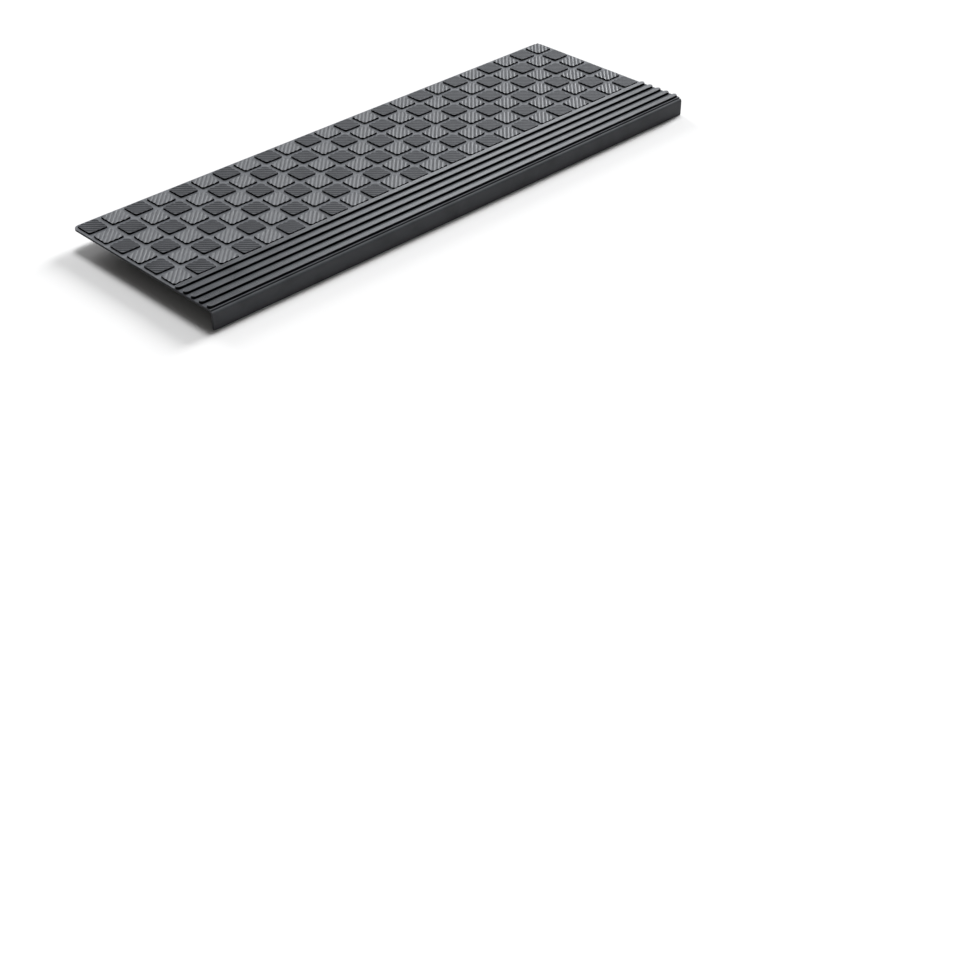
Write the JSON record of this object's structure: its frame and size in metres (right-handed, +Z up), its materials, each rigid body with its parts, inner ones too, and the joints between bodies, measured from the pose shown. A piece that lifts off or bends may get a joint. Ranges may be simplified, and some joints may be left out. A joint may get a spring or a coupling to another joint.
{
  "type": "anti slip stair tread mat",
  "caption": "Black rubber mat for one stair tread, with raised cross-ridged tiles, grip ribs along the front and a lip that hangs over the step's edge.",
  "frame": {"origin": "middle of the flat underside that lies on the step; the lip hangs below it", "axes": "+X along the step's width, -Y out over the step's front edge, +Z up"},
  "size_m": [0.75, 0.255, 0.026],
  "materials": {
    "black_rubber": "matt moulded black rubber"
  },
  "bodies": {
    "root": {"stair_tread_mat": "black_rubber"}
  },
  "joints": []
}
